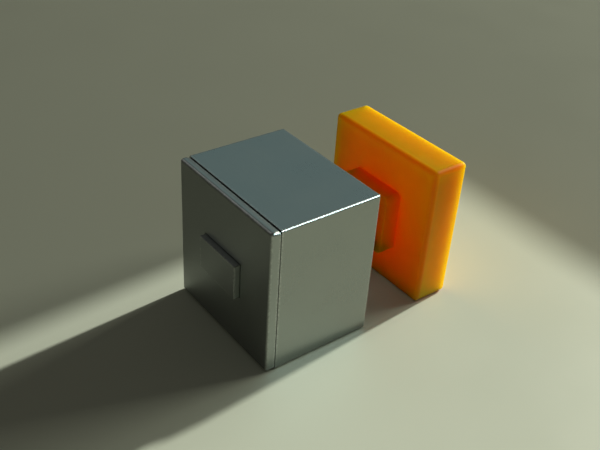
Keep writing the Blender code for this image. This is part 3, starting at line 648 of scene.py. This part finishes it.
def back_panel():
    """The plate in the case's back, with a square opening for the socket and four countersunk holes."""
    front, back = PANEL_LOW.y, PANEL_HIGH.y
    half_x = PANEL_HIGH.x
    half_z = (PANEL_HIGH.z - PANEL_LOW.z) / 2
    opening = CUP_HALF + 0.3 * MM
    edge = 0.25 * MM

    def outer(y, inset):
        low, high = MIDDLE - half_z + inset, MIDDLE + half_z - inset
        return y, outline(half_x - inset, low, high, 0.6 * MM)

    def inner(y, grow):
        half = opening + grow
        return y, outline(half, MIDDLE - half, MIDDLE + half, 0.4 * MM)

    loops = [outer(front, 0)]
    loops += [
        outer(y, inset)
        for y, inset in quarter((back - edge, 0), (back, edge), (back - edge, edge), 4)
    ]
    loops += [
        inner(y, grow)
        for y, grow in quarter((back, edge), (back - edge, 0), (back - edge, edge), 4)
    ]
    loops.append(inner(front, 0))
    panel = loft("back_panel_skin", loops, panel_metal, ring=True)
    holes = []
    for x, z in BACK_SCREWS:
        holes.append(sunk_hole((x, back, z), 1.55 * MM, 2.8 * MM, 3 * MM + WALL))
    for side in (-1, 1):
        x = side * SOCKET_SCREW_X
        start = (x, front - WALL, MIDDLE)
        holes.append(rod("hole", start, (x, front + 2.2 * MM, MIDDLE), HOLE_RADIUS))
    cut_away(panel, holes)
    even_normals(panel)
    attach(panel, "case")
    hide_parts("back_panel")


def sunk_hole(place, radius, rim, depth):
    """A cutter for a countersunk hole that goes in from the back, as wide as its rim at the surface."""
    x, y, z = place
    steps = 40
    bm = bmesh.new()
    rows = []
    for shift, size in ((WALL, rim + WALL), (radius - rim, radius), (-depth, radius)):
        ring = []
        for step in range(steps):
            angle = 2 * math.pi * (step + 0.5) / steps
            ring.append(
                bm.verts.new((x + size * math.cos(angle), y + shift, z + size * math.sin(angle)))
            )
        rows.append(ring)
    skin(bm, rows)
    return finish_mesh(bm, "sunk_hole")


def socket_cup():
    """The moulded socket that takes the block's plug: flange, walls with a rounded rim, and a floor."""
    front, back = CUP_LOW.y, CUP_HIGH.y
    edge = 0.3 * MM
    flange = CUP_HIGH.x
    inside = 18 * MM
    bottom = back - 11 * MM

    def square(y, half, rounding):
        return y, outline(half, MIDDLE - half, MIDDLE + half, rounding)

    loops = [square(front, CUP_HALF - edge, 0.2 * MM)]
    loops.append(square(front + edge, CUP_HALF, 0.4 * MM))
    loops.append(square(CUP_FLANGE_BACK - 1.5 * MM, CUP_HALF, 0.4 * MM))
    loops.append(square(CUP_FLANGE_BACK - 1.5 * MM, flange, 0.4 * MM))
    loops.append(square(CUP_FLANGE_BACK, flange, 0.4 * MM))
    loops.append(square(CUP_FLANGE_BACK, CUP_HALF, 0.4 * MM))
    loops += [
        square(y, CUP_HALF - inset, 0.4 * MM)
        for y, inset in quarter((back - edge, 0), (back, edge), (back - edge, edge), 3)
    ]
    loops += [
        square(y, inside + grow, 3 * MM)
        for y, grow in quarter((back, edge), (back - edge, 0), (back - edge, edge), 3)
    ]
    loops += [
        square(y, inside - inset, 3 * MM - inset)
        for y, inset in quarter(
            (bottom + 0.4 * MM, 0), (bottom, 0.4 * MM), (bottom + 0.4 * MM, 0.4 * MM), 3
        )
    ]
    cup = loft("socket_cup_skin", loops, plastic)
    holes = []
    for side in (-1, 1):
        x = side * MAGNET_X
        start = (x, front - WALL, MAGNET_Z)
        holes.append(rod("pocket", start, (x, front + 3.2 * MM, MAGNET_Z), MAGNET_POCKET))
        x = side * SOCKET_SCREW_X
        start = (x, CUP_FLANGE_BACK - 3 * MM, MIDDLE)
        holes.append(rod("hole", start, (x, CUP_FLANGE_BACK + WALL, MIDDLE), HOLE_RADIUS))
    cut_away(cup, holes)
    even_normals(cup)
    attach(cup, "case")
    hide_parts("socket_cup")


def tray_liner():
    """A pad of felt, die-cut to the tray's floor, with a soft edge and a slightly uneven nap."""
    low, high = LINER_LOW, LINER_HIGH
    half_x = high.x
    half_y = (high.y - low.y) / 2
    thick = high.z - low.z
    roll = 0.45 * thick

    def plan(height, inset):
        return height, outline(half_x - inset, -half_y + inset, half_y - inset, 1.2 * MM)

    loops = [plan(0, 0.2 * MM), plan(0.15 * thick, 0.05 * MM)]
    loops += [
        plan(height, inset)
        for height, inset in quarter((thick - roll, 0.05 * MM), (thick, roll), (thick - roll, roll), 4)
    ]
    inset = 1.5 * MM
    while inset < half_y - 1.5 * MM:
        loops.append(plan(thick, inset))
        inset += 1.5 * MM
    turn = Matrix(((1, 0, 0, 0), (0, 0, 1, (low.y + high.y) / 2), (0, 1, 0, low.z), (0, 0, 0, 1)))
    liner = loft("tray_liner_felt", loops, wool, turn=turn)
    for vertex in liner.data.vertices:
        x, y, z = vertex.co / MM
        if vertex.co.z > low.z + 0.6 * thick:
            wave = math.sin(0.53 * x + 0.9 * math.sin(0.41 * y)) * math.cos(0.47 * y - 0.2 * x)
            vertex.co.z -= 0.05 * MM * (1 + wave)
    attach(liner, "drawer")
    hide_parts("tray_liner")


def bolt_spring(side):
    """A compression spring with closed ends round a bolt's stem, shortened by the bolt's travel."""
    node = f"bolt_spring_{side}"
    low, high = (Vector(corner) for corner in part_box(node))
    wire = 0.19 * MM
    coil = (high.x - low.x) / 2 - 0.2 * MM
    turns = 6
    per_turn = 28
    sides = 10
    length = high.z - low.z
    centre_y = (low.y + high.y) / 2
    count = turns * per_turn
    rises = []
    for step in range(count):
        turn = (step + 0.5) / per_turn
        closed = min(turn, turns - turn) < 0.8
        rises.append(0.4 if closed else 1.0)
    total = sum(rises)
    heights = [0.0]
    for rise in rises:
        heights.append(heights[-1] + rise / total)
    bm = bmesh.new()
    rings = []
    for step, height in enumerate(heights):
        angle = 2 * math.pi * step / per_turn
        out = Vector((math.cos(angle), math.sin(angle), 0))
        centre = Vector((0, centre_y, low.z + wire + (length - 2 * wire) * height)) + coil * out
        rings.append(
            [
                bm.verts.new(
                    centre
                    + wire * math.cos(2 * math.pi * i / sides) * out
                    + Vector((0, 0, wire * math.sin(2 * math.pi * i / sides)))
                )
                for i in range(sides)
            ]
        )
    skin(bm, rings)
    spring = finish_mesh(bm, f"{node}_wire", steel)
    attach(spring, "drawer")
    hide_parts(node)
    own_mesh(spring)


def ease(name, width):
    """Takes the sharp edges off a CAD node, whose mesh stays as it is."""
    node = frame["nodes"][name]
    bevel = node.modifiers.new("eased_edges", "BEVEL")
    bevel.width = width
    bevel.segments = 2
    bevel.limit_method = "ANGLE"
    bevel.angle_limit = math.radians(40)
    bevel.harden_normals = False
    even_normals(node)


def coat(name, material):
    """Gives a CAD node, whose shape stays, its finished material."""
    for slot in frame["nodes"][name].material_slots:
        slot.link = "OBJECT"
        slot.material = material


steel = machined("machined_steel", (0.56, 0.57, 0.58), (0.42, 0.42, 0.43), 0.26)
nickel = machined("nickel_plate", (0.72, 0.7, 0.66), (0.62, 0.6, 0.56), 0.14, 900)
brass = machined("machined_brass", (0.76, 0.56, 0.26), (0.6, 0.42, 0.19), 0.28)
aluminium = blasted("blasted_aluminium", (0.62, 0.63, 0.64), 0.38)
plastic = moulded("moulded_black", (0.022, 0.022, 0.025), 0.5)
wool = felt("charcoal_felt_wool", (0.035, 0.036, 0.042))
panel_metal = gunmetal("gunmetal_panel", PANEL_LOW, PANEL_HIGH, POLISH_LEVEL, 0.4)

BY_SLOT = {
    "steel": steel,
    "nickel_magnet": nickel,
    "brass": brass,
    "aluminium": aluminium,
    "black_plastic": plastic,
    "charcoal_felt": wool,
    "gunmetal": panel_metal,
}
for entry in frame["record"]["subparts"]:
    if entry["material_slot"] in BY_SLOT:
        coat(entry["node"], BY_SLOT[entry["material_slot"]])

case_shell()
front_cover()
front_button()
resin_block = key_block()
back_panel()
socket_cup()
tray_liner()
bolt_spring("upper")
bolt_spring("lower")
for name in ("drawer_tray", "back_frame", "lock_housing"):
    ease(name, 0.25 * MM)


# ---------------------------------------------------------------- stage, light and camera
def stage():
    floor = slab("floor", (-6, -6, -0.02), (6, 6, -0.0001))
    look = Look("pale_table", (0.77, 0.84, 0.73), 0.45)
    tone = look.mix(look.noise(4, 3), (0.76, 0.83, 0.72), (0.785, 0.855, 0.745))
    rough = look.spread(look.noise(14, 3), 0.3, 0.7, 0.4, 0.5)
    look.end(tone, rough, look.bump(look.noise(700, 2), 0.03, 0.0001))
    floor.data.materials.append(look.material)
    return floor


def lamp(name, kind, energy, colour):
    data = bpy.data.lights.new(name, kind)
    data.energy = energy
    data.color = colour
    made = bpy.data.objects.new(name, data)
    bpy.context.scene.collection.objects.link(made)
    return made


def flags(travel):
    """Boards that keep the low key light off the floor at the left and the back, like a window frame."""
    left_edge = -0.055
    far_edge = 0.175
    left_y = 0.5
    far_y = 0.7
    further_y = 5.8
    fall = travel.z / travel.y
    half = 3.5
    left_end = left_edge + travel.x * (left_y + 0.06) / travel.y
    boards = [
        ("left_flag", (-2.5, left_y), (left_end, left_y), 1.2),
        ("far_flag", (-half, far_y), (half, far_y), (far_y - far_edge) * fall),
        ("further_flag", (-half, further_y), (half, further_y), (further_y - 0.9 * far_y) * fall),
    ]
    held = bpy.data.collections.new("flags")
    for name, start, end, height in boards:
        board = slab(name, (*start, 0), (end[0], end[1] + 0.004, height))
        board.visible_camera = False
        board.visible_glossy = False
        board.visible_diffuse = False
        board.visible_transmission = False
        board.data.materials.append(Look(name, (0.05, 0.05, 0.05), 0.9).material)
        held.objects.link(board)
    for item in held.collection_objects:
        item.light_linking.link_state = "EXCLUDE"
    return held


def unlit(name, *objs):
    """A lamp that is given this collection lights all but these objects."""
    kept = bpy.data.collections.new(name)
    for obj in objs:
        kept.objects.link(obj)
    for item in kept.collection_objects:
        item.light_linking.link_state = "EXCLUDE"
    return kept


def light(floor, block):
    world = bpy.data.worlds.new("room")
    world.use_nodes = True
    background = world.node_tree.nodes["Background"]
    background.inputs["Color"].default_value = (1.0, 0.94, 0.77, 1)
    background.inputs["Strength"].default_value = 0.053
    bpy.context.scene.world = world

    travel = Vector((0.064, -1, -math.tan(math.radians(26))))
    key = lamp("key", "SUN", 2.9, (1.0, 0.985, 0.84))
    key.data.angle = math.radians(1.8)
    key.rotation_euler = travel.to_track_quat("-Z", "Y").to_euler()
    held = flags(travel)

    centre = Vector((0, 0, MIDDLE))
    metal_only = unlit("metal_only", floor, block)
    panels = [
        ("sky", (-0.95, 0.78, 0.84), 1.2, 0.85, 0.3, (0.6, 0.95, 1.0), metal_only),
        ("left", (-1.1, -0.5, 1.0), 0.7, 0.7, 0.62, (0.98, 1.0, 1.0), metal_only),
        ("window", (0.2, 3.2, 1.6), 1.8, 1.0, 7.5, (1.0, 0.985, 0.8), None),
        ("rim", (0.85, 0.785, 0.955), 0.5, 0.5, 19.0, (0.74, 1.0, 1.0), metal_only),
    ]
    for name, offset, width, height, radiance, colour, lit in panels:
        made = lamp(name, "AREA", radiance * math.pi * width * height, colour)
        made.data.shape = "RECTANGLE"
        made.data.size = width
        made.data.size_y = height
        made.location = centre + Vector(offset)
        made.rotation_euler = (-Vector(offset)).to_track_quat("-Z", "Y").to_euler()
        made.light_linking.blocker_collection = held
        if lit:
            made.light_linking.receiver_collection = lit


def camera():
    """Placed by a fitted camera pose."""
    bearing, rise, tilt = (math.radians(angle) for angle in (51.04, 33.73, 3.94))
    back = Vector(
        (
            math.sin(bearing) * math.cos(rise),
            -math.cos(bearing) * math.cos(rise),
            math.sin(rise),
        )
    )
    right = (-back).cross(Vector((0, 0, 1))).normalized()
    up = right.cross(-back)
    turned_right = math.cos(tilt) * right + math.sin(tilt) * up
    turned_up = -math.sin(tilt) * right + math.cos(tilt) * up
    data = bpy.data.cameras.new("camera")
    data.lens = 50.44
    data.sensor_width = 36
    data.clip_start = 0.01
    view = bpy.data.objects.new("camera", data)
    turn = Matrix((turned_right, turned_up, back)).transposed().to_4x4()
    view.matrix_world = Matrix.Translation((0.2736, -0.2059, 0.2816)) @ turn
    bpy.context.scene.collection.objects.link(view)
    bpy.context.scene.camera = view


light(stage(), resin_block)
camera()
bpy.context.scene.view_settings.view_transform = "Standard"
